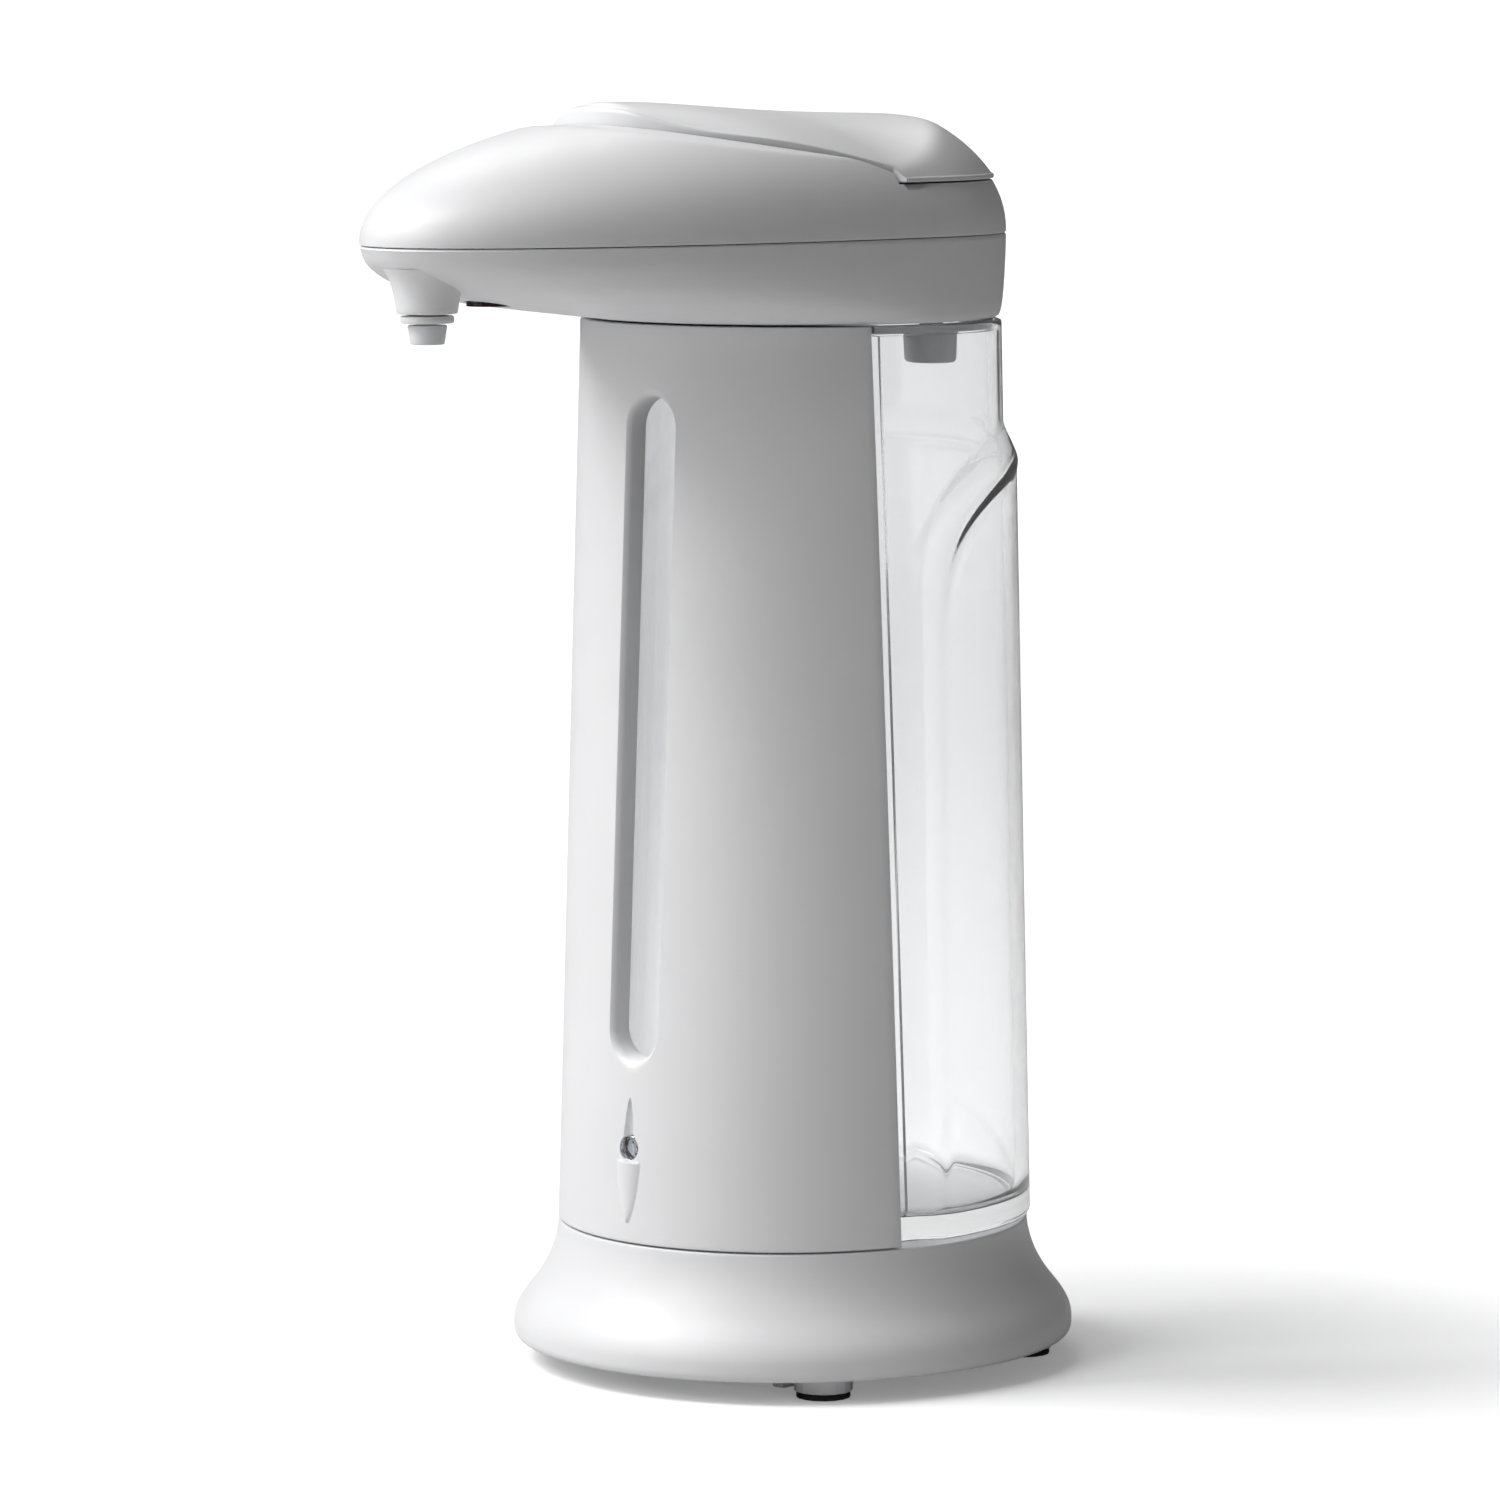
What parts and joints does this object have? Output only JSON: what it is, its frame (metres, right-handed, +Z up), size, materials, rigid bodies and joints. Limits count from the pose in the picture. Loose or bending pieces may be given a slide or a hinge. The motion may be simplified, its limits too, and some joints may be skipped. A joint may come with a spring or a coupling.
{
  "type": "automatic soap dispenser",
  "caption": "Counter-standing touch-free soap dispenser: flared base, white front shell with a level slot, clear tank behind, and an egg-shaped head with hinged filler lid and downward nozzle.",
  "frame": {"origin": "centre of the bounding box on the plane that the feet stand on", "axes": "+Z up, -Y is the front where the nozzle reaches out, +X to the right when looking along +Y"},
  "size_m": [0.0882, 0.1324, 0.2],
  "materials": {
    "white_shell": "fine satin moulded ABS",
    "white_lid": "fine satin moulded ABS",
    "clear_tank": "polished clear PET",
    "window_clear": "frosted clear PET",
    "light_lens": "milky translucent",
    "silicone": "matt translucent silicone",
    "hose_clear": "clear silicone tube",
    "foot_rubber": "matt black rubber",
    "inner_white": "plain moulded polypropylene",
    "inner_grey": "plain moulded",
    "inner_black": "plain moulded",
    "gear_cream": "acetal",
    "steel": "plated",
    "brass": "machined",
    "circuit_board": "solder-resist green",
    "dark_lens": "infrared-pass acrylic",
    "light_chip": "epoxy",
    "cell_sleeve": "plain printed sleeve",
    "lead_red": "PVC insulation"
  },
  "bodies": {
    "housing": {"base_plate": "white_shell", "base_screw_1": "steel", "base_screw_2": "steel", "base_screw_3": "steel", "base_screw_4": "steel", "base_shell": "white_shell", "battery_1": "cell_sleeve", "battery_2": "cell_sleeve", "battery_3": "cell_sleeve", "battery_4": "cell_sleeve", "battery_contact_front": "steel", "battery_contact_rear": "steel", "battery_tray": "inner_black", "column_shell": "white_shell", "filler_funnel": "inner_white", "foot_pad_front_left": "foot_rubber", "foot_pad_front_right": "foot_rubber", "foot_pad_rear_left": "foot_rubber", "foot_pad_rear_right": "foot_rubber", "gear_plate": "inner_grey", "head_lower_shell": "white_shell", "head_upper_shell": "white_shell", "idler_axle": "steel", "level_window": "window_clear", "lid_hinge_pin": "steel", "main_board": "circuit_board", "motor": "steel", "nozzle_ring": "inner_white", "nozzle_tip": "silicone", "outlet_tube": "hose_clear", "power_lead": "lead_red", "power_switch_body": "inner_black", "pump_housing": "inner_grey", "pump_screw_1": "steel", "pump_screw_2": "steel", "pump_tube": "hose_clear", "sensor_board": "circuit_board", "sensor_emitter": "dark_lens", "sensor_receiver": "dark_lens", "sensor_window": "dark_lens", "status_board": "circuit_board", "status_led": "light_chip", "status_lens": "light_lens", "suction_strainer": "inner_white", "suction_tube": "hose_clear", "tank": "clear_tank", "tank_gasket": "silicone", "vent_valve": "silicone"},
    "lid": {"lid": "white_lid", "lid_seal": "silicone"},
    "battery_door": {"battery_door": "white_shell"},
    "power_switch": {"power_switch_knob": "inner_white"},
    "rotor": {"pump_rotor": "inner_white", "rotor_gear": "gear_cream"},
    "roller_1": {"pump_roller_1": "inner_grey"},
    "roller_2": {"pump_roller_2": "inner_grey"},
    "roller_3": {"pump_roller_3": "inner_grey"},
    "idler": {"idler_gear": "gear_cream"},
    "motor_shaft": {"motor_shaft": "steel", "motor_pinion": "brass"}
  },
  "joints": [
    {"name": "lid_hinge", "type": "hinge", "parent": "housing", "child": "lid", "pos_m": [0, -0.02075, 0.1974], "axis": [1, 0, 0], "range_deg": [0, 95]},
    {"name": "battery_door_slide", "type": "slide", "parent": "housing", "child": "battery_door", "axis": [0, 1, 0], "range_m": [0, 0.052]},
    {"name": "power_switch_slide", "type": "slide", "parent": "housing", "child": "power_switch", "axis": [1, 0, 0], "range_m": [0, 0.004]},
    {"name": "rotor_spin", "type": "hinge", "parent": "housing", "child": "rotor", "pos_m": [0, -0.01875, 0.179], "axis": [0, 0, 1], "continuous": true},
    {"name": "roller_spin_1", "type": "hinge", "parent": "rotor", "child": "roller_1", "pos_m": [0, -0.01115, 0.1765], "axis": [0, 0, 1], "continuous": true},
    {"name": "roller_spin_2", "type": "hinge", "parent": "rotor", "child": "roller_2", "pos_m": [-0.00658, -0.02255, 0.1765], "axis": [0, 0, 1], "continuous": true},
    {"name": "roller_spin_3", "type": "hinge", "parent": "rotor", "child": "roller_3", "pos_m": [0.00658, -0.02255, 0.1765], "axis": [0, 0, 1], "continuous": true},
    {"name": "idler_spin", "type": "hinge", "parent": "housing", "child": "idler", "pos_m": [0.0096, -0.00595, 0.1855], "axis": [0, 0, 1], "continuous": true},
    {"name": "pinion_spin", "type": "hinge", "parent": "housing", "child": "motor_shaft", "pos_m": [0, 0.00478, 0.186], "axis": [0, 0, 1], "continuous": true}
  ],
  "couplings": [
    {"joint": "roller_spin_1", "follows": "rotor_spin", "ratio": -4},
    {"joint": "roller_spin_2", "follows": "rotor_spin", "ratio": -4},
    {"joint": "roller_spin_3", "follows": "rotor_spin", "ratio": -4},
    {"joint": "idler_spin", "follows": "rotor_spin", "ratio": -3},
    {"joint": "pinion_spin", "follows": "rotor_spin", "ratio": 9}
  ]
}
